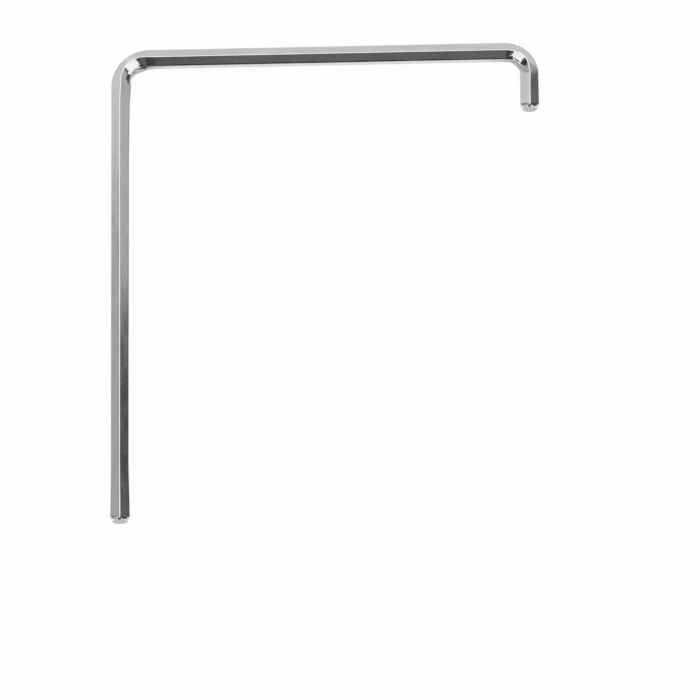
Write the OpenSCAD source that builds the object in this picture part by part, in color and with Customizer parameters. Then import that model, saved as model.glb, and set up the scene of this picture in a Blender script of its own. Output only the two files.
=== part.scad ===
// Double-bent hexagon key for adjusting window hinges and closers.
// It is one length of hexagon bar: a long arm, a crank across its top and a short hook.
// The key lies flat on the lowest corner ridge of the bar, which is at Z = 0.
// Its bounding box is centred on the Z axis, and both tips point along -Y.

/* [Bar] */
// Width of the hexagon bar across its flats, which is the size of screw that the key fits
across_flats = 4; // [2.5:0.5:6]
// Radius that rounds the six corners of the bar
corner_r = 0.35; // [0.1:0.05:0.5]

/* [Arms] */
// Overall length of the key, from the crank's outer flat to the long arm's tip
key_length = 113; // [70:1:180]
// Overall width of the key, from the long arm's outer flat to the hook's outer flat
key_width = 100; // [60:1:160]
// Length of the hook, from the crank's outer flat to the hook's tip
hook_length = 16; // [13:0.5:50]

/* [Bends] */
// Inside radius of the bend between the long arm and the crank
long_bend_r = 4.8; // [2:0.1:6]
// Inside radius of the bend between the crank and the hook
hook_bend_r = 3.9; // [2:0.1:6]

/* [Tips] */
// Length of the conical chamfer at each tip, measured along a corner of the bar
chamfer_length = 0.5; // [0.2:0.1:1]
// Depth of that chamfer at a corner, from the bar's ridge in towards its axis
chamfer_depth = 0.4; // [0.1:0.05:0.8]

/* [Hidden] */

// Steps in a full turn of the bends, the corners' roundings and the chamfers
$fn = 96;
// A hexagon's corners, and the angle from one to the next
corners = 6;
corner_step = 360 / corners;
// Direction of the bar's uppermost corner in its cross-section
top_corner = 90;
// Turn of each bend
bend_angle = 90;

// Distance from the bar's axis to the centre of each corner's rounding
corner_centre_r = (across_flats / 2 - corner_r) / cos(corner_step / 2);
// Height of the bar over its rounded corners
across_corners = 2 * (corner_centre_r + corner_r);
// Height of the bar's axis above the surface that the key lies on
axis_z = across_corners / 2;
// Radius of the flat face that the chamfer leaves at a tip
tip_face_r = across_corners / 2 - chamfer_depth;

// Centre lines of the long arm, the crank and the hook
long_x = (across_flats - key_width) / 2;
crank_y = (key_length - across_flats) / 2;
hook_x = (key_width - across_flats) / 2;
// Where the two tips end
long_tip_y = -key_length / 2;
hook_tip_y = key_length / 2 - hook_length;

// Radius of each bend at the bar's axis
long_bend_axis_r = long_bend_r + across_flats / 2;
hook_bend_axis_r = hook_bend_r + across_flats / 2;
// Centre of each bend
long_bend_centre = [long_x + long_bend_axis_r, crank_y - long_bend_axis_r];
hook_bend_centre = [hook_x - hook_bend_axis_r, crank_y - hook_bend_axis_r];

// Direction of corner i in the cross-section
function corner_direction(i) = top_corner + i * corner_step;

// Point on the rounding of corner i where its surface faces the given direction
function rounding_point(i, facing) =
    corner_centre_r * [cos(corner_direction(i)), sin(corner_direction(i))]
    + corner_r * [cos(facing), sin(facing)];

// The flats of the cross-section, each joined to the next where the corners' roundings start
module flat_sided_core() {
    polygon([
        for (i = [0 : corners - 1], side = [-1, 1])
            rounding_point(i, corner_direction(i) + side * corner_step / 2)
    ]);
}

// Cross-section of the bar, with a corner at its top and bottom and a flat at each side
module bar_section() {
    flat_sided_core();
    for (i = [0 : corners - 1]) {
        rotate(corner_direction(i))
            translate([corner_centre_r, 0])
                circle(r = corner_r);
    }
}

// A straight stretch of bar from the origin along -Y
module straight_bar(length) {
    rotate([90, 0, 0])
        linear_extrude(height = length)
            bar_section();
}

// The cone that chamfers a tip, with its small end where a bar of the given length ends
module tip_cone(length) {
    widening = chamfer_depth / chamfer_length;
    rotate([90, 0, 0])
        cylinder(h = length, r1 = tip_face_r + widening * length, r2 = tip_face_r);
}

// A straight stretch of bar from the origin along -Y, with a chamfered tip
module tipped_bar(length) {
    intersection() {
        straight_bar(length);
        tip_cone(length);
    }
}

// A bend about the Z axis, turning anticlockwise from the given direction
module bent_bar(axis_r, from) {
    rotate([0, 0, from])
        rotate_extrude(angle = bend_angle)
            translate([axis_r, 0])
                bar_section();
}

// The long arm, from its bend to its tip
module long_arm() {
    translate([long_x, long_bend_centre.y])
        tipped_bar(long_bend_centre.y - long_tip_y);
}

// The bend between the long arm and the crank
module long_bend() {
    translate(long_bend_centre)
        bent_bar(long_bend_axis_r, bend_angle);
}

// The crank, from bend to bend
module crank() {
    translate([long_bend_centre.x, crank_y])
        rotate([0, 0, bend_angle])
            straight_bar(hook_bend_centre.x - long_bend_centre.x);
}

// The bend between the crank and the hook
module hook_bend() {
    translate(hook_bend_centre)
        bent_bar(hook_bend_axis_r, 0);
}

// The hook, from its bend to its tip
module hook() {
    translate([hook_x, hook_bend_centre.y])
        tipped_bar(hook_bend_centre.y - hook_tip_y);
}

// The whole key, one solid bent from one bar
module hex_key() {
    color("silver")
        translate([0, 0, axis_z]) {
            long_arm();
            long_bend();
            crank();
            hook_bend();
            hook();
        }
}

hex_key();
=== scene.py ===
"""Looks of a window adjustment key: a bright-plated hexagon bar with two square bends.

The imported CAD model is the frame. The bar is modelled again over its node with the marks of the real
making: corners rolled round, inner flats pressed wide in the bends, turned chamfers and sheared ends.
"""

import logging
import math
from dataclasses import dataclass, field
from enum import Enum

import bmesh
import bpy
from mathutils import Matrix, Vector, noise


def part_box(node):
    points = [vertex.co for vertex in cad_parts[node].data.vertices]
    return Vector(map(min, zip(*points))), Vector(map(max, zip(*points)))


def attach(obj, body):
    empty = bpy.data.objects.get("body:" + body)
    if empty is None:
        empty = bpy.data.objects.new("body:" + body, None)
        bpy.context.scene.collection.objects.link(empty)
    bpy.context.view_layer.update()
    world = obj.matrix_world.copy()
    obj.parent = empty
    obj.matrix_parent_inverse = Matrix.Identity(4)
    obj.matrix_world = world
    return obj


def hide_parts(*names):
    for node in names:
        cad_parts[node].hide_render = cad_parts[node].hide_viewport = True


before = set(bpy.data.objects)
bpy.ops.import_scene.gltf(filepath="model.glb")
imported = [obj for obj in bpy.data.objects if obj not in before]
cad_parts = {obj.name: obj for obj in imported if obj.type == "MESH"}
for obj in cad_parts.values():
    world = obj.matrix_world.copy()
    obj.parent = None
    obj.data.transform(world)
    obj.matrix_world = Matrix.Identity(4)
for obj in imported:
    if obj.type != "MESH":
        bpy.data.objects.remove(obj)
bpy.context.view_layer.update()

MM = 0.001
DRAWN_MAP = "Drawn"
BAKE_MAP = "OFBake"
STRAIN = "strain"
# Point attribute: where the inner flats of the bends take painted shade
CRUSHED_SHADE = "crushed_shade"
CORNERS = 6
CORNER_STEP = math.radians(60)
HALF_STEP = CORNER_STEP / 2
QUARTER_TURN = math.pi / 2
FULL_TURN = 2 * math.pi
NEAR = 1e-6
MICRON = 0.001 * MM
# An end face lies this near its tip; it and the chamfer face -Y by more than these
END_DEPTH = 0.1 * MM
END_FACING = -0.9
CHAMFER_FACING = -0.3
# Degrees of a curved board to one flat, and watts per square metre of lamp at level 1
BOARD_STEP = 4
LAMP_WATTS = 4
# Values between which most of a noise pattern lies
NOISE_LOW = 0.3
NOISE_HIGH = 0.7

Socket = bpy.types.NodeSocket
Tint = tuple[float, float, float]
Inputs = dict[int | str, object]

log = logging.getLogger("adjustment_key")


def smooth_step(value: float) -> float:
    """Returns 0 below 0, 1 above 1, and an even S-curve between them."""
    t = min(max(value, 0.0), 1.0)
    return t * t * (3 - 2 * t)


def bow(share: float) -> float:
    """Returns 0 at both ends of 0 to 1, and 1 half way."""
    return 4 * share * (1 - share)


def off_axis(spot: Vector, tip: Vector) -> float:
    """Returns how far a point lies from the bar's axis at a tip."""
    return math.hypot(spot.x - tip.x, spot.z - tip.z)


def clear_selection() -> None:
    """Deselects every object, the CAD nodes among them."""
    bpy.ops.object.select_all(action="DESELECT")


# ---------------------------------------------------------------- sizes and route


@dataclass(frozen=True)
class KeySizes:
    """Sizes of the bar, in metres."""

    across_flats: float = 4 * MM
    corner_round: float = 0.18 * MM
    long_bend_inside: float = 4.8 * MM
    hook_bend_inside: float = 3.9 * MM
    hook_length: float = 16 * MM
    chamfer_length: float = 0.5 * MM
    chamfer_depth: float = 0.46 * MM

    @property
    def half_flats(self) -> float:
        """Distance from the axis to a flat."""
        return self.across_flats / 2

    @property
    def flat_edge(self) -> float:
        """Distance from the middle of a flat to its edge, before the corners are rounded."""
        return self.half_flats * math.tan(HALF_STEP)

    @property
    def sharp_corner(self) -> float:
        """Distance from the axis to a corner before it is rounded."""
        return self.half_flats / math.cos(HALF_STEP)

    @property
    def peak(self) -> float:
        """Distance from the axis to the top of a rounded corner."""
        return self.sharp_corner - self.corner_round * (1 / math.cos(HALF_STEP) - 1)

    @property
    def tip_radius(self) -> float:
        """Radius of the flat face at each end."""
        return self.peak - self.chamfer_depth

    @property
    def long_bend(self) -> float:
        """Radius of the bar's axis in the bend of the long arm."""
        return self.long_bend_inside + self.half_flats

    @property
    def hook_bend(self) -> float:
        """Radius of the bar's axis in the bend of the hook."""
        return self.hook_bend_inside + self.half_flats


@dataclass(frozen=True)
class BarPlace:
    """Where a point of the bar lies: along it, and out from its axis."""

    along: float
    out: float
    outward: Vector


@dataclass(frozen=True)
class BarRoute:
    """The bar's centre line, from the long tip round both bends to the tip of the hook."""

    low: Vector
    high: Vector
    sizes: KeySizes

    @property
    def long_x(self) -> float:
        """Axis of the long arm."""
        return self.low.x + self.sizes.half_flats

    @property
    def hook_x(self) -> float:
        """Axis of the hook."""
        return self.high.x - self.sizes.half_flats

    @property
    def crank_y(self) -> float:
        """Axis of the crank arm."""
        return self.high.y - self.sizes.half_flats

    @property
    def height(self) -> float:
        """Height of the whole centre line."""
        return (self.low.z + self.high.z) / 2

    @property
    def long_tip(self) -> Vector:
        """Centre of the long arm's end face."""
        return Vector((self.long_x, self.low.y, self.height))

    @property
    def hook_tip(self) -> Vector:
        """Centre of the hook's end face."""
        return Vector((self.hook_x, self.high.y - self.sizes.hook_length, self.height))

    @property
    def long_centre(self) -> Vector:
        """Centre of the bend at the long arm."""
        radius = self.sizes.long_bend
        return Vector((self.long_x + radius, self.crank_y - radius, self.height))

    @property
    def hook_centre(self) -> Vector:
        """Centre of the bend at the hook."""
        radius = self.sizes.hook_bend
        return Vector((self.hook_x - radius, self.crank_y - radius, self.height))

    @property
    def marks(self) -> list[float]:
        """Lengths along the bar at which its five stretches end."""
        stretches = [
            self.long_centre.y - self.long_tip.y,
            self.sizes.long_bend * QUARTER_TURN,
            self.hook_centre.x - self.long_centre.x,
            self.sizes.hook_bend * QUARTER_TURN,
            self.hook_centre.y - self.hook_tip.y,
        ]
        return [sum(stretches[: n + 1]) for n in range(len(stretches))]

    def place(self, point: Vector) -> BarPlace:
        """Finds where a point of the plain swept bar lies.

        Args:
            point: The point, in the row frame.

        Returns:
            Its length along the bar, and its distance and direction out from the axis.
        """
        first, second, third, fourth, _ = self.marks
        near, far = self.long_centre, self.hook_centre
        if point.x <= near.x and point.y >= near.y:
            arm = Vector((point.x - near.x, point.y - near.y, 0))
            turn = math.atan2(arm.y, -arm.x)
            along = first + self.sizes.long_bend * turn
            return BarPlace(along, arm.length - self.sizes.long_bend, arm.normalized())
        if point.x >= far.x and point.y >= far.y:
            arm = Vector((point.x - far.x, point.y - far.y, 0))
            turn = math.atan2(arm.x, arm.y)
            along = third + self.sizes.hook_bend * turn
            return BarPlace(along, arm.length - self.sizes.hook_bend, arm.normalized())
        if point.x < near.x:
            along = point.y - self.long_tip.y
            return BarPlace(along, self.long_x - point.x, Vector((-1, 0, 0)))
        if point.x > far.x:
            along = fourth + far.y - point.y
            return BarPlace(along, point.x - self.hook_x, Vector((1, 0, 0)))
        along = second + point.x - near.x
        return BarPlace(along, point.y - self.crank_y, Vector((0, 1, 0)))


@dataclass(frozen=True)
class Swell:
    """A smooth rise and fall along the bar, in metres."""

    centre: float
    before: float
    after: float
    size: float
    level: float = 0.0

    def at(self, along: float) -> float:
        """Height of the swell at a length along the bar."""
        reach = self.before if along < self.centre else self.after
        return self.size * smooth_step(1 - max(0.0, abs(along - self.centre) - self.level) / reach)


@dataclass(frozen=True)
class BendMarks:
    """What the bending tool leaves round one bend.

    The top and bottom corners are pulled outwards, the inner corners are squeezed up and down, the inner
    flat bellies, and the inner side is filled out towards the inside of the bend.
    """

    pulls: tuple[Swell, ...]
    lift: Swell
    crowns: tuple[Swell, ...]
    bellies: tuple[Swell, ...]
    fills: tuple[Swell, ...]

    def move(self, place: BarPlace, height: float, sizes: KeySizes) -> Vector:
        """Works out how far a point of the plain bar moves.

        Args:
            place: Where the point lies on the plain bar.
            height: Its height above the axis.
            sizes: Sizes of the bar.

        Returns:
            The move, in the row frame.
        """
        pull, fill, belly, crown = (
            sum(swell.at(place.along) for swell in swells)
            for swells in (self.pulls, self.fills, self.bellies, self.crowns)
        )
        lift = self.lift.at(place.along)
        share = min(1.0, abs(place.out) / sizes.half_flats)
        if place.out > 0:
            return place.outward * pull * (1 - share)
        up = math.copysign(lift * share + crown * bow(share), height)
        flat_edge = sizes.flat_edge
        if place.out > NEAR - sizes.half_flats:
            return place.outward * (pull - fill * share) + Vector((0, 0, up))
        rim = min(1.0, abs(height) / flat_edge) ** 2
        inward = pull * rim - belly * (1 - rim) - fill
        return place.outward * inward + Vector((0, 0, lift * height / flat_edge))


@dataclass(frozen=True)
class CornerDip:
    """A stretch where the sloped faces bend down towards the inner corner, or to a gap before it."""

    swell: Swell
    width: float
    power: float = 1.0
    gap: float = 0.0

    def at(self, place: BarPlace, half_flats: float) -> float:
        """How far a point of the inner side sinks towards the middle height."""
        share = (-place.out - half_flats + self.width) / (self.width - self.gap)
        return self.swell.at(place.along) * min(1.0, max(0.0, share)) ** self.power


@dataclass(frozen=True)
class CornerRoll:
    """How far the inner corners are rolled round, and where the slopes beside them sink."""

    length: float
    radius: float
    dips: tuple[CornerDip, ...]
    tip_gap: float = 1.6 * MM

    def move(self, place: BarPlace, height: float, sizes: KeySizes) -> Vector:
        """Works out how far a point of the plain bar moves when its inner corner is rolled round.

        Args:
            place: Where the point lies on the plain bar.
            height: Its height above the axis.
            sizes: Sizes of the bar.

        Returns:
            The move, in the row frame.
        """
        depth = sum(dip.at(place, sizes.half_flats) for dip in self.dips)
        sunk = depth * min(1.0, abs(height) / sizes.flat_edge)
        sink = Vector((0, 0, -math.copysign(sunk, height)))
        radius = self.radius * smooth_step(min(place.along, self.length - place.along) / self.tip_gap)
        reach = radius * math.tan(HALF_STEP)
        corner = Vector((-sizes.half_flats, sizes.flat_edge))
        spot = Vector((place.out, abs(height)))
        up_slope = (spot - corner).dot(Vector((math.cos(HALF_STEP), math.sin(HALF_STEP))))
        down_flat = corner.y - spot.y
        if reach < NEAR or up_slope >= reach or down_flat >= reach or place.out > 0:
            return sink
        share = 0.5 + 0.5 * (max(0.0, down_flat) - max(0.0, up_slope)) / reach
        turn = CORNER_STEP * (1 - share)
        inward = Vector((math.cos(HALF_STEP), -math.sin(HALF_STEP)))
        centre = corner + inward * (radius / math.cos(HALF_STEP))
        rolled = centre + Vector((-math.cos(turn), math.sin(turn))) * radius
        rise = math.copysign(rolled.y - spot.y, height)
        return place.outward * (rolled.x - spot.x) + Vector((0, 0, rise)) + sink


# ---------------------------------------------------------------- finishes


class NodeDesk:
    """Lays out the nodes of one material."""

    def __init__(self, name: str) -> None:
        """Makes an empty node material with its output and a Principled shader."""
        self.material = bpy.data.materials.new(name)
        self.material.use_nodes = True
        self.tree = self.material.node_tree
        self.tree.nodes.clear()
        self.output = self.tree.nodes.new("ShaderNodeOutputMaterial")
        self.shader = self.tree.nodes.new("ShaderNodeBsdfPrincipled")
        self.tree.links.new(self.shader.outputs["BSDF"], self.output.inputs["Surface"])

    def add(self, kind: str, inputs: Inputs | None = None, **settings: object) -> bpy.types.Node:
        """Adds a node of a kind, sets its properties and feeds its inputs."""
        node = self.tree.nodes.new(kind)
        for key, value in settings.items():
            setattr(node, key, value)
        self.feed(node, inputs or {})
        return node

    def feed(self, node: bpy.types.Node, inputs: Inputs) -> None:
        """Links or sets inputs of a node, whichever each value calls for."""
        for key, value in inputs.items():
            if isinstance(value, Socket):
                self.tree.links.new(value, node.inputs[key])
            else:
                node.inputs[key].default_value = value

    def maths(self, operation: str, first: object, second: object) -> Socket:
        """Adds a Math node and returns its result."""
        return self.add("ShaderNodeMath", {0: first, 1: second}, operation=operation).outputs[0]

    def ranged(self, value: Socket, low: float, high: float, to_low: float, to_high: float) -> Socket:
        """Carries a value from one range to another, held inside it, and returns the result."""
        inputs = dict(enumerate((value, low, high, to_low, to_high)))
        node = self.add("ShaderNodeMapRange", inputs, clamp=True, interpolation_type="SMOOTHSTEP")
        return node.outputs[0]

    def spread(self, pattern: Socket, to_low: float = 0.0, to_high: float = 1.0) -> Socket:
        """Stretches the busy middle of a noise pattern over a range."""
        return self.ranged(pattern, NOISE_LOW, NOISE_HIGH, to_low, to_high)

    def scaled(self, source: Socket, cells: Tint) -> Socket:
        """Scales coordinates to so many cells per metre along each axis."""
        inputs = {"Vector": source, "Scale": cells}
        return self.add("ShaderNodeMapping", inputs, vector_type="POINT").outputs[0]

    def drawn(self, cells: tuple[float, float]) -> Socket:
        """Coordinates along the bar and round it, scaled to so many cells per metre."""
        source = self.add("ShaderNodeUVMap", uv_map=DRAWN_MAP)
        return self.scaled(source.outputs[0], (*cells, 1))

    def solid(self, cells: float) -> Socket:
        """Object coordinates, scaled to so many cells per metre."""
        source = self.add("ShaderNodeTexCoord")
        return self.scaled(source.outputs["Object"], (cells, cells, cells))

    def noise(self, vector: Socket, detail: float = 2.0) -> Socket:
        """Adds a noise pattern on ready-scaled coordinates and returns its value."""
        inputs = {"Vector": vector, "Scale": 1.0, "Detail": detail}
        return self.add("ShaderNodeTexNoise", inputs).outputs["Fac"]

    def dots(self, vector: Socket, size: float) -> Socket:
        """Adds scattered round dots, 1 at their middle and 0 between them."""
        node = self.add("ShaderNodeTexVoronoi", {"Vector": vector, "Scale": 1.0}, feature="F1")
        return self.ranged(node.outputs["Distance"], 0.0, size, 1.0, 0.0)

    def bump(self, height: Socket, depth: float, below: Socket | None = None) -> Socket:
        """Adds relief on top of what lies below it.

        Args:
            height: The pattern, from 0 to 1.
            depth: How deep the pattern is, in metres.
            below: The normal of the relief under this one.

        Returns:
            The new normal.
        """
        inputs = {"Strength": 1.0, "Distance": depth, "Height": height}
        if below is not None:
            inputs["Normal"] = below
        return self.add("ShaderNodeBump", inputs).outputs[0]

    def shade(self, value: Socket, dark: Tint | Socket, light: Tint) -> Socket:
        """Mixes two colours by a value and returns the colour."""
        first = dark if isinstance(dark, Socket) else (*dark, 1)
        inputs = {"Factor": value, "A": first, "B": (*light, 1)}
        return self.add("ShaderNodeMix", inputs, data_type="RGBA").outputs["Result"]

    def plate(self, colour: Socket, rough: Socket, normal: Socket) -> bpy.types.Material:
        """Makes the material bare metal of this colour, roughness and relief, and returns it."""
        inputs = {"Base Color": colour, "Roughness": rough, "Normal": normal, "Metallic": 1.0}
        self.feed(self.shader, inputs)
        return self.material

    def matt(self, shade: float, glow: float = 0.0) -> bpy.types.Material:
        """Makes the material a matt grey of this shade with a white glow, and returns it."""
        inputs = {
            "Base Color": (shade, shade, shade, 1),
            "Roughness": 1.0,
            "Emission Color": (1, 1, 1, 1),
            "Emission Strength": glow,
        }
        self.feed(self.shader, inputs)
        return self.material


@dataclass(frozen=True)
class DrawnNickel:
    """Bright nickel over drawn bar: lines along the bar, fine pits, creases in the bends, and painted shade
    in blotches on the inner flats of the bends.
    """

    light: Tint = (0.745, 0.73, 0.736)
    dark: Tint = (0.645, 0.632, 0.637)
    # Painted shade for the inner flats of the bends, laid on in blotches like crushed plating
    dull_shade: Tint = (0.38, 0.37, 0.374)
    smoothest: float = 0.07
    roughest: float = 0.13
    wave_cells: tuple[float, float] = (60, 2600)
    wave_depth: float = 0.0016 * MM
    line_cells: tuple[float, float] = (250, 9000)
    line_depth: float = 0.0008 * MM
    cloud_cells: tuple[float, float] = (160, 420)
    wave_share: float = 0.6
    rough_range: tuple[float, float] = (0.7, 1.3)
    blotch_cells: float = 1100
    least_blotch: float = 0.55
    crease_cells: float = 1400
    crease_depth: float = 0.01 * MM
    pit_cells: float = 900
    pit_size: float = 0.16
    pit_depth: float = 0.005 * MM

    def make(self) -> bpy.types.Material:
        """Builds the material."""
        desk = NodeDesk("drawn_nickel")
        waves = desk.noise(desk.drawn(self.wave_cells), 3.0)
        lines = desk.noise(desk.drawn(self.line_cells))
        cloud = desk.noise(desk.drawn(self.cloud_cells), 3.0)
        uneven = desk.maths("ADD", cloud, lines)
        rough = desk.ranged(uneven, *self.rough_range, self.smoothest, self.roughest)
        return desk.plate(self.colour(desk, waves, cloud), rough, self.relief(desk, waves, lines))

    def colour(self, desk: NodeDesk, waves: Socket, cloud: Socket) -> Socket:
        """Mixes the drawn metal's two tones, and darkens the inner flats of the bends with painted shade,
        blotched like crushed plating.

        Args:
            desk: The material's nodes.
            waves: The broad lines along the bar.
            cloud: The soft patches.

        Returns:
            The colour.
        """
        wave_part = desk.maths("MULTIPLY", waves, self.wave_share)
        cloud_part = desk.maths("MULTIPLY", cloud, 1 - self.wave_share)
        plain = desk.shade(desk.spread(desk.maths("ADD", wave_part, cloud_part)), self.dark, self.light)
        # Painted shade: the inner flats of the bends turn dark grey, in blotches
        crushed_shade = desk.add("ShaderNodeAttribute", attribute_name=CRUSHED_SHADE)
        blotches = desk.spread(desk.noise(desk.solid(self.blotch_cells), 3.0), self.least_blotch)
        return desk.shade(desk.maths("MULTIPLY", crushed_shade.outputs["Fac"], blotches), plain, self.dull_shade)

    def relief(self, desk: NodeDesk, waves: Socket, lines: Socket) -> Socket:
        """Lays the drawn lines, the creases of the bends and the pits over each other.

        Args:
            desk: The material's nodes.
            waves: The broad lines along the bar.
            lines: The fine lines along the bar.

        Returns:
            The normal.
        """
        strain = desk.add("ShaderNodeAttribute", attribute_name=STRAIN)
        creases = desk.noise(desk.solid(self.crease_cells))
        strained = desk.maths("MULTIPLY", creases, strain.outputs["Fac"])
        sunk = desk.maths("MULTIPLY", desk.dots(desk.solid(self.pit_cells), self.pit_size), -1.0)
        normal = desk.bump(waves, self.wave_depth)
        normal = desk.bump(lines, self.line_depth, normal)
        normal = desk.bump(strained, self.crease_depth, normal)
        return desk.bump(sunk, self.pit_depth, normal)


@dataclass(frozen=True)
class TurnedNickel:
    """Plated chamfer, turned round the tip."""

    light: Tint = (0.785, 0.77, 0.775)
    dark: Tint = (0.685, 0.67, 0.675)
    smoothest: float = 0.1
    roughest: float = 0.2
    ring_cells: tuple[float, float] = (9000, 300)
    ring_depth: float = 0.002 * MM
    cloud_cells: float = 900

    def make(self) -> bpy.types.Material:
        """Builds the material."""
        desk = NodeDesk("turned_nickel")
        rings = desk.noise(desk.drawn(self.ring_cells))
        cloud = desk.spread(desk.noise(desk.solid(self.cloud_cells)))
        rough = desk.spread(rings, self.smoothest, self.roughest)
        return desk.plate(
            desk.shade(cloud, self.dark, self.light), rough, desk.bump(rings, self.ring_depth)
        )


@dataclass(frozen=True)
class ShearedNickel:
    """Plating over a sheared end: a dull, grainy face."""

    light: Tint = (0.6, 0.587, 0.591)
    dark: Tint = (0.42, 0.408, 0.412)
    smoothest: float = 0.28
    roughest: float = 0.42
    grain_cells: float = 2600
    grain_depth: float = 0.02 * MM

    def make(self) -> bpy.types.Material:
        """Builds the material."""
        desk = NodeDesk("sheared_nickel")
        grain = desk.noise(desk.solid(self.grain_cells), 3.0)
        colour = desk.shade(desk.spread(grain), self.dark, self.light)
        rough = desk.spread(grain, self.roughest, self.smoothest)
        return desk.plate(colour, rough, desk.bump(grain, self.grain_depth))


class Skin(Enum):
    """Material slots of the key, in order."""

    SIDES = 0
    CHAMFER = 1
    END = 2


# ---------------------------------------------------------------- the key


@dataclass(frozen=True)
class BakeSheet:
    """The square on which the bar's skin is laid out for baking: even strips, and the two end faces."""

    length: float
    perimeter: float
    ring_gap: float
    strips: int = 4
    spare: float = 1.06
    gaps_a_side: int = 200
    squeeze: float = 0.98
    end_room: float = 2.5 * MM
    end_pitch: float = 6 * MM

    @property
    def strip_length(self) -> float:
        """Length of bar on each strip."""
        return self.length / self.strips

    @property
    def side(self) -> float:
        """Side of the square."""
        return (self.strip_length + self.ring_gap) * self.spare

    @property
    def gap(self) -> float:
        """Space between the strips."""
        return self.side / self.gaps_a_side

    def on_strip(self, along: float, around: float, strip: int) -> Vector:
        """Where a point of the bar's sides lies on the square, from 0 to 1."""
        across = self.gap + along - strip * self.strip_length + self.ring_gap / 2
        up = self.gap + (strip + 0.5) * (self.perimeter + self.gap) + around * self.squeeze
        return Vector((across, up)) / self.side

    def on_end(self, flat: Vector, column: int) -> Vector:
        """Where a point of an end face lies on the square, from 0 to 1."""
        across = self.gap * 2 + self.end_room + column * self.end_pitch
        up = self.side - self.end_room - self.gap
        return (Vector((across, up)) + flat) / self.side


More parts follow.
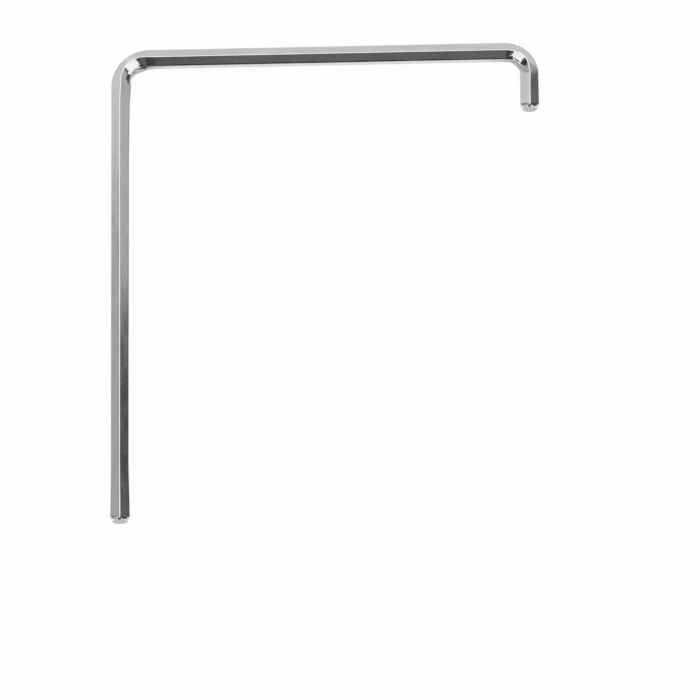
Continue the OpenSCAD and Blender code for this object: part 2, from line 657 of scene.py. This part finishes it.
@dataclass
class BentBar:
    """The whole key: one hexagon bar, swept round its route and finished at both tips."""

    route: BarRoute
    sizes: KeySizes
    flat_cuts: int = 20
    round_segments: int = 6
    round_profile: float = 0.536
    bend_steps: int = 40
    ring_gap: float = 2 * MM
    shoulder: float = 1.7 * MM
    shoulder_rings: int = 5
    shoulder_gap: float = 0.2 * MM
    edge_softness: float = 0.025 * MM
    end_rings: tuple[float, ...] = (0.93, 0.75, 0.5, 0.25)
    strain_reach: float = 3 * MM
    strain_level: float = 1.4
    # Share of the way in from the axis at which the inner flat starts to take painted shade
    crushed_shade_from: float = 0.98
    outer_flare: float = 0.14 * MM
    inner_flare: float = 0.24 * MM
    flare_length: float = 15 * MM
    arm_twist: float = math.radians(2.5)
    tip_twist: float = math.radians(1.4)
    arm_girth: float = 1.035
    crank_girth: float = 1.01
    tip_pinch: float = 0.19
    pinch_start: float = 0.95 * MM
    pinch_length: float = 0.5 * MM
    unevenness: float = 0.012 * MM
    uneven_cell: float = 1.3 * MM
    tip_lean: float = 0.05
    piece: bpy.types.Object = field(init=False, default=None)

    def build(self) -> bpy.types.Object:
        """Models the bar and returns its object."""
        self.start_section()
        self.sweep()
        bpy.ops.mesh.select_all(action="SELECT")
        bpy.ops.mesh.remove_doubles(threshold=NEAR)
        for tip in (self.route.hook_tip, self.route.long_tip):
            self.select_open_end(tip)
            self.close_tip(tip)
        bpy.ops.mesh.select_all(action="SELECT")
        bpy.ops.mesh.remove_doubles(threshold=NEAR)
        bpy.ops.mesh.normals_make_consistent(inside=False)
        bpy.ops.object.mode_set(mode="OBJECT")
        self.unroll()
        self.press()
        self.settle()
        return self.piece

    def start_section(self) -> None:
        """Makes the open rounded hexagon that the bar is swept from, one shoulder behind the long tip."""
        clear_selection()
        start = self.route.long_tip + Vector((0, self.shoulder, 0))
        bpy.ops.mesh.primitive_circle_add(
            vertices=CORNERS,
            radius=self.sizes.sharp_corner,
            fill_type="NGON",
            location=start,
            rotation=(QUARTER_TURN, 0, 0),
        )
        self.piece = bpy.context.object
        self.piece.name = "bent_bar"
        self.piece.data.name = "bent_bar"
        bpy.ops.object.transform_apply(location=True, rotation=True, scale=True)
        bpy.ops.object.mode_set(mode="EDIT")
        bpy.ops.mesh.select_mode(type="VERT")
        bpy.ops.mesh.select_all(action="SELECT")
        bpy.ops.mesh.bevel(
            offset=self.sizes.corner_round * math.tan(HALF_STEP),
            segments=self.round_segments,
            profile=self.round_profile,
            affect="VERTICES",
        )
        bpy.ops.mesh.select_mode(type="EDGE")
        mesh = bmesh.from_edit_mesh(self.piece.data)
        self.select_edges([e for e in mesh.edges if e.calc_length() > self.sizes.corner_round])
        bpy.ops.mesh.subdivide(number_cuts=self.flat_cuts)
        bpy.ops.mesh.select_mode(type="VERT")
        bpy.ops.mesh.select_all(action="SELECT")
        bpy.ops.mesh.delete(type="ONLY_FACE")
        bpy.ops.mesh.select_all(action="SELECT")

    def run(self, travel: Vector) -> None:
        """Extrudes the open end straight on, in even rings."""
        rings = max(2, round(travel.length / self.ring_gap))
        for _ in range(rings):
            bpy.ops.mesh.extrude_region_move(TRANSFORM_OT_translate={"value": travel / rings})

    def turn(self, centre: Vector) -> None:
        """Spins the open end a quarter turn, clockwise from above."""
        bpy.ops.mesh.spin(steps=self.bend_steps, angle=QUARTER_TURN, center=centre, axis=(0, 0, 1))

    def sweep(self) -> None:
        """Carries the section along the route, up to one shoulder before the hook's tip."""
        route = self.route
        self.run(Vector((0, route.long_centre.y - route.long_tip.y - self.shoulder, 0)))
        self.turn(route.long_centre)
        self.run(Vector((route.hook_centre.x - route.long_centre.x, 0, 0)))
        self.turn(route.hook_centre)
        self.run(Vector((0, route.hook_tip.y + self.shoulder - route.hook_centre.y, 0)))

    def select_open_end(self, tip: Vector) -> None:
        """Selects the open loop at a tip."""
        mesh = bmesh.from_edit_mesh(self.piece.data)
        reach = self.sizes.across_flats
        self.select_edges([e for e in mesh.edges if e.is_boundary and (e.verts[0].co - tip).length < reach])

    def select_edges(self, edges: list[bmesh.types.BMEdge]) -> None:
        """Selects these edges and nothing else."""
        bpy.ops.mesh.select_all(action="DESELECT")
        for edge in edges:
            edge.select_set(True)
        bmesh.update_edit_mesh(self.piece.data)

    def by_radius(self, tip: Vector) -> dict[int, list[int]]:
        """Groups the selected vertices by their distance from the bar's axis at a tip."""
        groups: dict[int, list[int]] = {}
        mesh = bmesh.from_edit_mesh(self.piece.data)
        for vertex in mesh.verts:
            if vertex.select:
                groups.setdefault(round(off_axis(vertex.co, tip) / MICRON), []).append(vertex.index)
        return groups

    def pick(self, indices: list[int]) -> float:
        """Selects only these vertices, and returns how far along Y they lie."""
        bpy.ops.mesh.select_all(action="DESELECT")
        mesh = bmesh.from_edit_mesh(self.piece.data)
        mesh.verts.ensure_lookup_table()
        for index in indices:
            mesh.verts[index].select_set(True)
        mesh.select_flush(True)
        bmesh.update_edit_mesh(self.piece.data)
        return mesh.verts[indices[0]].co.y

    def ring_edges(self, indices: list[int]) -> set[int]:
        """Lists the edges between these vertices."""
        wanted = set(indices)
        mesh = bmesh.from_edit_mesh(self.piece.data)
        return {e.index for e in mesh.edges if all(v.index in wanted for v in e.verts)}

    def close_tip(self, tip: Vector) -> None:
        """Gives the selected open end its turned chamfer and its flat face.

        Args:
            tip: Centre of the end face. Both tips face towards -Y.
        """
        sizes = self.sizes
        slope = sizes.chamfer_depth / sizes.chamfer_length
        for _ in range(self.shoulder_rings):
            bpy.ops.mesh.extrude_region_move(TRANSFORM_OT_translate={"value": (0, -self.shoulder_gap, 0)})
        bpy.ops.mesh.extrude_region_move()
        groups = self.by_radius(tip)
        shoulder_ring = [index for group in groups.values() for index in group]
        for members in groups.values():
            here = self.pick(members)
            reach = self.reach_of(members[0], tip)
            target = tip.y + (reach - sizes.tip_radius) / slope
            bpy.ops.transform.translate(value=(0, target - here, 0))
        self.pick(shoulder_ring)
        bpy.ops.mesh.extrude_region_move()
        groups = self.by_radius(tip)
        face_ring = [index for group in groups.values() for index in group]
        for members in groups.values():
            here = self.pick(members)
            shrink = sizes.tip_radius / self.reach_of(members[0], tip)
            bpy.ops.transform.resize(value=(shrink, 1, shrink), center_override=tip)
            bpy.ops.transform.translate(value=(0, tip.y - here, 0))
        self.pick(face_ring)
        last = 1.0
        for share in self.end_rings:
            bpy.ops.mesh.extrude_region_move()
            bpy.ops.transform.resize(value=(share / last, 1, share / last), center_override=tip)
            last = share
        bpy.ops.mesh.merge(type="CENTER")
        self.bevel_edges(self.ring_edges(shoulder_ring))
        self.soften_circle(tip)

    def reach_of(self, index: int, tip: Vector) -> float:
        """Distance of one vertex from the bar's axis at a tip."""
        mesh = bmesh.from_edit_mesh(self.piece.data)
        mesh.verts.ensure_lookup_table()
        return off_axis(mesh.verts[index].co, tip)

    def soften_circle(self, tip: Vector) -> None:
        """Rounds the rim of an end face."""
        mesh = bmesh.from_edit_mesh(self.piece.data)
        mesh.edges.ensure_lookup_table()
        rim = set()
        for edge in mesh.edges:
            level = all(abs(v.co.y - tip.y) < NEAR for v in edge.verts)
            if level and all(abs(off_axis(v.co, tip) - self.sizes.tip_radius) < NEAR for v in edge.verts):
                rim.add(edge.index)
        self.bevel_edges(rim)

    def bevel_edges(self, edges: set[int]) -> None:
        """Rounds these edges with a small even bevel."""
        bpy.ops.mesh.select_mode(type="EDGE")
        mesh = bmesh.from_edit_mesh(self.piece.data)
        self.select_edges([edge for edge in mesh.edges if edge.index in edges])
        bpy.ops.mesh.bevel(offset=self.edge_softness, segments=3, affect="EDGES", loop_slide=True)
        bpy.ops.mesh.select_mode(type="VERT")

    def unroll(self) -> None:
        """Lays out two maps: one in metres along and round the bar, and one cut into strips for baking."""
        mesh = self.piece.data
        drawn = mesh.uv_layers.new(name=DRAWN_MAP)
        bake = mesh.uv_layers.new(name=BAKE_MAP)
        perimeter = CORNERS * 2 * self.sizes.flat_edge
        sheet = BakeSheet(self.route.marks[-1], perimeter, self.ring_gap)
        tips = (self.route.long_tip, self.route.hook_tip)
        for face in mesh.polygons:
            middle = self.route.place(face.center)
            middle_angle = self.angle_of(middle, face.center.z)
            strip = min(sheet.strips - 1, max(0, int(middle.along / sheet.strip_length)))
            column = 0 if face.center.x < 0 else 1
            depth = min(abs(face.center.y - tip.y) for tip in tips)
            on_end = abs(face.normal.y) > -END_FACING and depth < END_DEPTH
            for loop in face.loop_indices:
                spot = mesh.vertices[mesh.loops[loop].vertex_index].co
                place = self.route.place(spot)
                angle = self.angle_of(place, spot.z)
                if angle - middle_angle > math.pi:
                    angle -= FULL_TURN
                if angle - middle_angle < -math.pi:
                    angle += FULL_TURN
                around = angle / FULL_TURN * perimeter
                drawn.uv[loop].vector = (place.along, around)
                if on_end:
                    flat = Vector((spot.x - tips[column].x, spot.z - tips[column].z))
                    bake.uv[loop].vector = sheet.on_end(flat, column)
                else:
                    bake.uv[loop].vector = sheet.on_strip(place.along, around, strip)
        mesh.uv_layers.active = drawn

    def angle_of(self, place: BarPlace, z: float) -> float:
        """Angle of a point round the bar's axis, from straight up."""
        return math.atan2(place.out, z - self.route.height)

    def bend_marks(self) -> tuple[BendMarks, BendMarks]:
        """Marks of the two bends, placed by the ends of each bend."""
        first, second, third, fourth, last = self.route.marks
        long_middle = (first + second) / 2
        hook_middle = (third + fourth) / 2
        long_bend = BendMarks(
            pulls=(
                Swell(long_middle + 0.6 * MM, 5 * MM, 5.5 * MM, 0.5 * MM),
                Swell(first, 4 * MM, 3 * MM, -0.16 * MM),
            ),
            lift=Swell(long_middle, 5 * MM, 5 * MM, 0.12 * MM),
            crowns=(Swell(long_middle, 5 * MM, 5 * MM, 0.02 * MM),),
            bellies=(
                Swell(first, 5 * MM, 4 * MM, 0.25 * MM),
                Swell(second - 2.4 * MM, 5 * MM, 6 * MM, 0.6 * MM),
            ),
            fills=(Swell(first, 18 * MM, 4 * MM, 0.2 * MM),),
        )
        hook_bend = BendMarks(
            pulls=(
                Swell(hook_middle + 0.2 * MM, 4 * MM, 4 * MM, 0.5 * MM),
                Swell(fourth + 0.4 * MM, 2.6 * MM, 3 * MM, 0.13 * MM),
            ),
            lift=Swell(hook_middle - 0.8 * MM, 3.4 * MM, 3.8 * MM, 0.19 * MM),
            crowns=(
                Swell(hook_middle, 4 * MM, 4 * MM, 0.03 * MM),
                Swell(hook_middle + 2.2 * MM, 2.5 * MM, 3 * MM, 0.035 * MM),
            ),
            bellies=(Swell(hook_middle, 4 * MM, 5 * MM, 0.15 * MM),),
            fills=(
                Swell(last, last - hook_middle, 5 * MM, 0.27 * MM),
                Swell(fourth + 0.4 * MM, 2.6 * MM, 3 * MM, 0.16 * MM),
            ),
        )
        return long_bend, hook_bend

    def corner_roll(self) -> CornerRoll:
        """Rolled inner corners, with the dips beside them in the bends and along the crank."""
        first, second, third, _, last = self.route.marks
        middle, half = (second + third) / 2, (third - second) / 2
        along_crank = Swell(middle, 1.4 * MM, 0.8 * MM, 0.07 * MM, half + 3 * MM)
        in_hook_bend = Swell(third + 2.7 * MM, 1.1 * MM, 1.2 * MM, 0.07 * MM)
        under_hook_bend = Swell(third + 4.2 * MM, 0.8 * MM, 0.8 * MM, 0.12 * MM, 1.1 * MM)
        return CornerRoll(
            length=last,
            radius=0.3 * MM,
            dips=(
                CornerDip(Swell(first + 3.4 * MM, 5.4 * MM, 0.9 * MM, 0.15 * MM), 1.3 * MM, power=2.0),
                CornerDip(along_crank, 0.45 * MM),
                CornerDip(in_hook_bend, 0.85 * MM, gap=0.42 * MM),
                CornerDip(under_hook_bend, 0.42 * MM),
            ),
        )

    def press(self) -> None:
        """Leaves the marks of bending, twisting and cropping on the plain swept bar."""
        mesh = self.piece.data
        strain = mesh.attributes.new(STRAIN, "FLOAT", "POINT")
        crushed_shade = mesh.attributes.new(CRUSHED_SHADE, "FLOAT", "POINT")
        bends = self.bend_marks()
        roll = self.corner_roll()
        for vertex in mesh.vertices:
            place = self.route.place(vertex.co)
            height = vertex.co.z - self.route.height
            worked = self.strain_at(place.along)
            # Mask of painted shade: the inner flat, near the bends
            inwards = -place.out / self.sizes.half_flats
            inside = smooth_step((inwards - self.crushed_shade_from) / (1 - self.crushed_shade_from))
            strain.data[vertex.index].value = worked
            crushed_shade.data[vertex.index].value = inside * worked
            vertex.co += self.roughen(vertex.co, place, height, worked)
            vertex.co += self.thicken(place)
            vertex.co += roll.move(place, height, self.sizes)
            for bend in bends:
                vertex.co += bend.move(place, height, self.sizes)
            vertex.co += self.twist(place, height)
            vertex.co += self.flare(place)
            vertex.co += self.crop(place, height)
        mesh.update()

    def strain_at(self, along: float) -> float:
        """How hard the metal was worked by the nearer bend, from 0 to 1."""
        first, second, third, fourth, _ = self.route.marks
        bends = (((first + second) / 2, (second - first) / 2), ((third + fourth) / 2, (fourth - third) / 2))
        return max(
            smooth_step(self.strain_level - abs(along - middle) / (half + self.strain_reach))
            for middle, half in bends
        )

    def flare_at(self, along: float) -> float:
        """How much of the long tip's flare is reached, from 0 to 1."""
        return smooth_step(1 - along / self.flare_length)

    def roughen(self, spot: Vector, place: BarPlace, height: float, worked: float) -> Vector:
        """Works out how far a point moves for the uneven skin of worked metal.

        Args:
            spot: The point, in the row frame.
            place: Where it lies on the plain bar.
            height: Its height above the axis.
            worked: How hard the metal was worked there, from 0 to 1.

        Returns:
            The move, in the row frame.
        """
        uneven = noise.noise(spot / self.uneven_cell) * self.unevenness * worked
        across = place.outward * place.out / self.sizes.half_flats * uneven
        return across + Vector((0, 0, uneven * height / self.sizes.peak))

    def thicken(self, place: BarPlace) -> Vector:
        """Works out how far a point moves for the extra width of the arms and the crank."""
        sideways = place.outward.x ** 2
        girth = self.arm_girth * sideways + self.crank_girth * (1 - sideways)
        return place.outward * place.out * (girth - 1)

    def flare(self, place: BarPlace) -> Vector:
        """Works out how far a point moves for the flare of the long tip."""
        wider = self.flare_at(place.along) * (self.outer_flare if place.out > 0 else self.inner_flare)
        return place.outward * (place.out / self.sizes.half_flats * wider)

    def twist(self, place: BarPlace, height: float) -> Vector:
        """Works out how far a point moves for the long arm's twist, which grows towards its tip."""
        first = self.route.marks[0]
        if place.along >= first:
            return Vector((0, 0, 0))
        turn = self.arm_twist * (1 - place.along / first) + self.tip_twist * self.flare_at(place.along)
        across = place.out * (math.cos(turn) - 1) - height * math.sin(turn)
        rise = height * (math.cos(turn) - 1) + place.out * math.sin(turn)
        return place.outward * across + Vector((0, 0, rise))

    def crop(self, place: BarPlace, height: float) -> Vector:
        """Works out how far a point moves for the pinch and the lean that cropping leaves at a tip."""
        depth = min(place.along, self.route.marks[-1] - place.along)
        pinch = self.tip_pinch * smooth_step((self.pinch_start - depth) / self.pinch_length)
        lean = self.tip_lean * height * smooth_step(1 - depth / self.pinch_start)
        return place.outward * place.out * -pinch + Vector((0, lean, 0))

    def settle(self) -> None:
        """Shades the mesh smooth and evens its normals."""
        clear_selection()
        self.piece.select_set(True)
        bpy.context.view_layer.objects.active = self.piece
        bpy.ops.object.shade_smooth()
        weighted = self.piece.modifiers.new("even_normals", "WEIGHTED_NORMAL")
        weighted.mode = "FACE_AREA_WITH_ANGLE"
        bpy.ops.object.modifier_apply(modifier=weighted.name)

    def dress(self) -> None:
        """Gives the sides, chamfers and end faces their finishes, and ties the piece to the frame."""
        for finish in (DrawnNickel(), TurnedNickel(), ShearedNickel()):
            self.piece.data.materials.append(finish.make())
        for face in self.piece.data.polygons:
            face.material_index = self.skin_of(face).value
        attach(self.piece, "root")
        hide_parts("hex_key")

    def skin_of(self, face: bpy.types.MeshPolygon) -> Skin:
        """Picks the finish of a face by how near a tip it lies and which way it faces."""
        for tip in (self.route.long_tip, self.route.hook_tip):
            beside = abs(face.center.x - tip.x) < self.sizes.across_flats
            if beside and face.center.y - tip.y < self.shoulder:
                if face.normal.y < END_FACING:
                    return Skin.END
                if face.normal.y < CHAMFER_FACING:
                    return Skin.CHAMFER
        return Skin.SIDES


# ---------------------------------------------------------------- studio and camera


@dataclass(frozen=True)
class SoftBox:
    """A rectangular soft light that faces the key."""

    name: str
    azimuth: float
    elevation: float
    width: float
    height: float
    level: float
    distance: float = 1.7

    def direction(self) -> Vector:
        """Direction from the key to the light. Azimuth 0 is +X and 90 is +Y."""
        turn, rise = math.radians(self.azimuth), math.radians(self.elevation)
        return Vector((math.cos(turn) * math.cos(rise), math.sin(turn) * math.cos(rise), math.sin(rise)))

    def build(self) -> None:
        """Adds the light."""
        clear_selection()
        away = self.direction()
        bpy.ops.object.light_add(type="AREA", location=away * self.distance)
        lamp = bpy.context.object
        lamp.name = self.name
        lamp.rotation_euler = away.to_track_quat("Z", "Y").to_euler()
        lamp.data.shape = "RECTANGLE"
        lamp.data.size = self.width
        lamp.data.size_y = self.height
        lamp.data.energy = self.level * LAMP_WATTS * self.width * self.height


@dataclass(frozen=True)
class Screen:
    """An upright curved board round the key, dark or softly lit, that the bright faces reflect.

    Angles are in degrees as seen from the key. Azimuth 0 is +X and 90 is +Y.
    """

    name: str
    start: float
    end: float
    low: float
    high: float
    shade: float = 0.0
    glow: float = 0.0
    distance: float = 1.8

    def build(self) -> None:
        """Adds the board: an upright strip, spun about the key."""
        clear_selection()
        bottom, top = (self.distance * math.tan(math.radians(a)) for a in (self.low, self.high))
        begin = math.radians(self.start)
        reach = self.distance + (top - bottom) / 2
        spot = (reach * math.cos(begin), reach * math.sin(begin), (bottom + top) / 2)
        bpy.ops.mesh.primitive_plane_add(
            size=top - bottom, location=spot, rotation=(QUARTER_TURN, 0, begin)
        )
        board = bpy.context.object
        board.name = self.name
        bpy.ops.object.transform_apply(location=True, rotation=True, scale=True)
        bpy.ops.object.mode_set(mode="EDIT")
        bpy.ops.mesh.select_all(action="SELECT")
        bpy.ops.mesh.delete(type="ONLY_FACE")
        mesh = bmesh.from_edit_mesh(board.data)
        upright = [e for e in mesh.edges if abs(e.verts[0].co.z - e.verts[1].co.z) > NEAR]
        inner = min(upright, key=lambda e: e.verts[0].co.xy.length)
        bmesh.ops.delete(mesh, geom=[v for v in mesh.verts if v not in inner.verts], context="VERTS")
        bmesh.update_edit_mesh(board.data)
        bpy.ops.mesh.select_all(action="SELECT")
        steps = max(2, round(abs(self.end - self.start) / BOARD_STEP))
        bpy.ops.mesh.spin(
            steps=steps, angle=-math.radians(self.end - self.start), center=(0, 0, 0), axis=(0, 0, 1)
        )
        bpy.ops.object.mode_set(mode="OBJECT")
        board.data.materials.append(NodeDesk(self.name).matt(self.shade, self.glow))


@dataclass(frozen=True)
class Studio:
    """The pale floor, the even surround and the soft lights."""

    floor_size: float = 20.0
    floor_shade: float = 0.9
    seen_veil: float = 0.95
    mirrored_veil: float = 0.9
    surround: float = 0.78
    boxes: tuple[SoftBox, ...] = (
        SoftBox("box_overhead", 100, 78, 1.7, 1.7, 0.8),
    )
    screens: tuple[Screen, ...] = (
        Screen("soft_right", -69, -8.5, 38, 46, glow=1.3),
        Screen("soft_right_top", -66, -11, 46, 57, glow=1.3),
        Screen("soft_left", 194, 248, 38, 57, glow=1.3, distance=1.81),
        Screen("low_right", -75, -18, 8, 24, glow=1.4),
        Screen("low_left", -168, -113, 8, 24, glow=1.4),
        Screen("grey_low_right", -75, -5, 0, 8, glow=0.4),
        Screen("grey_low_left", -175, -113, 0, 8, glow=0.4),
        Screen("dark_front", -166, -17.5, 24, 37.5, shade=0.04),
        Screen("dark_centre", -112, -76, 6, 24, shade=0.05),
        Screen("dark_middle", -98.5, -80, 38, 58, shade=0.19, distance=1.78),
        Screen("dark_right", -17.5, 18, 0, 36, shade=0.1),
        Screen("dark_side", 18, 22, 0, 31.8, shade=0.18),
        Screen("grey_side", 22, 25, 0, 31.8, shade=0.3),
        Screen("grey_side_far", 25, 28, 0, 31.8, shade=0.45),
        Screen("grey_side_end", 28, 34, 0, 31.8, shade=0.6),
        Screen("dark_rim", 187, 194, 34, 50, shade=0.02, distance=1.79),
        Screen("dark_rim_back", 169, 187, 35.6, 50, shade=0.03, distance=1.79),
        Screen("dark_rim_left", -113, -98.5, 37, 58, shade=0.04, distance=1.76),
        Screen("dark_rim_right", -80, -69.5, 37, 58, shade=0.07, distance=1.76),
        Screen("dark_edge", -8.5, -3, 36, 50, shade=0.05, distance=1.79),
        Screen("dark_edge_top", -11, -8, 46, 52, shade=0.05, distance=1.82),
        Screen("grey_left", 161.5, 193, 12, 33, glow=0.48),
        Screen("grey_left_high", 162.8, 169, 33, 43, glow=0.49),
        Screen("grey_right", -8.5, 29, 33.2, 48, glow=0.55, distance=1.85),
    )

    def build(self) -> None:
        """Adds the floor, the world and the lights."""
        self.lay_floor()
        self.light_surround()
        for item in (*self.boxes, *self.screens):
            item.build()
        bpy.context.scene.view_settings.view_transform = "Standard"

    def lay_floor(self) -> None:
        """Adds the floor. Seen straight or in a reflection, most of its tone is plain white."""
        clear_selection()
        bpy.ops.mesh.primitive_plane_add(size=self.floor_size, location=(0, 0, 0))
        floor = bpy.context.object
        floor.name = "floor"
        desk = NodeDesk("floor_paint")
        floor.data.materials.append(desk.matt(self.floor_shade))
        desk.feed(desk.shader, {"Specular IOR Level": 0.0})
        white = desk.add("ShaderNodeEmission")
        path = desk.add("ShaderNodeLightPath")
        straight = desk.maths("MULTIPLY", path.outputs["Is Camera Ray"], self.seen_veil)
        bounced = desk.maths("ADD", path.outputs["Is Glossy Ray"], path.outputs["Is Transmission Ray"])
        share = desk.maths("ADD", straight, desk.maths("MULTIPLY", bounced, self.mirrored_veil))
        inputs = {0: share, 1: desk.shader.outputs["BSDF"], 2: white.outputs["Emission"]}
        mixed = desk.add("ShaderNodeMixShader", inputs)
        desk.feed(desk.output, {"Surface": mixed.outputs["Shader"]})

    def light_surround(self) -> None:
        """Makes the even world light."""
        world = bpy.data.worlds.new("surround")
        world.use_nodes = True
        background = world.node_tree.nodes["Background"]
        background.inputs["Color"].default_value = (self.surround,) * 3 + (1,)
        background.inputs["Strength"].default_value = 1.0
        bpy.context.scene.world = world


@dataclass(frozen=True)
class KeyCamera:
    """The camera: high over the key, almost straight above it."""

    aim: tuple[float, float, float] = (5.28 * MM, -16.77 * MM, 2.26 * MM)
    azimuth: float = 7.64
    elevation: float = 75.57
    roll: float = -8.45
    distance: float = 1.2
    lens: float = 266.86
    sensor: float = 36
    clip: tuple[float, float] = (0.05, 50)

    def build(self) -> None:
        """Adds the camera and makes it the scene's own."""
        turn, rise, roll = (math.radians(a) for a in (self.azimuth, self.elevation, self.roll))
        flat = math.cos(rise)
        back = Vector((math.sin(turn) * flat, -math.cos(turn) * flat, math.sin(rise)))
        level = Vector((math.cos(turn), math.sin(turn), 0))
        upright = back.cross(level)
        right = level * math.cos(roll) + upright * math.sin(roll)
        up = back.cross(right)
        clear_selection()
        bpy.ops.object.camera_add()
        camera = bpy.context.object
        camera.name = "camera"
        axes = Matrix((right, up, back)).transposed().to_4x4()
        camera.matrix_world = Matrix.Translation(Vector(self.aim) + back * self.distance) @ axes
        camera.data.lens = self.lens
        camera.data.sensor_width = self.sensor
        camera.data.clip_start, camera.data.clip_end = self.clip
        bpy.context.scene.camera = camera


# ---------------------------------------------------------------- all of it


def main() -> None:
    """Builds the camera, the key and the studio, in that order."""
    logging.basicConfig(level=logging.INFO, format="%(name)s: %(message)s")
    KeyCamera().build()
    sizes = KeySizes()
    low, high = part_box("hex_key")
    bar = BentBar(BarRoute(low, high, sizes), sizes)
    bar.build()
    bar.dress()
    log.info("%s has %d faces", bar.piece.name, len(bar.piece.data.polygons))
    Studio().build()


if __name__ == "__main__":
    main()
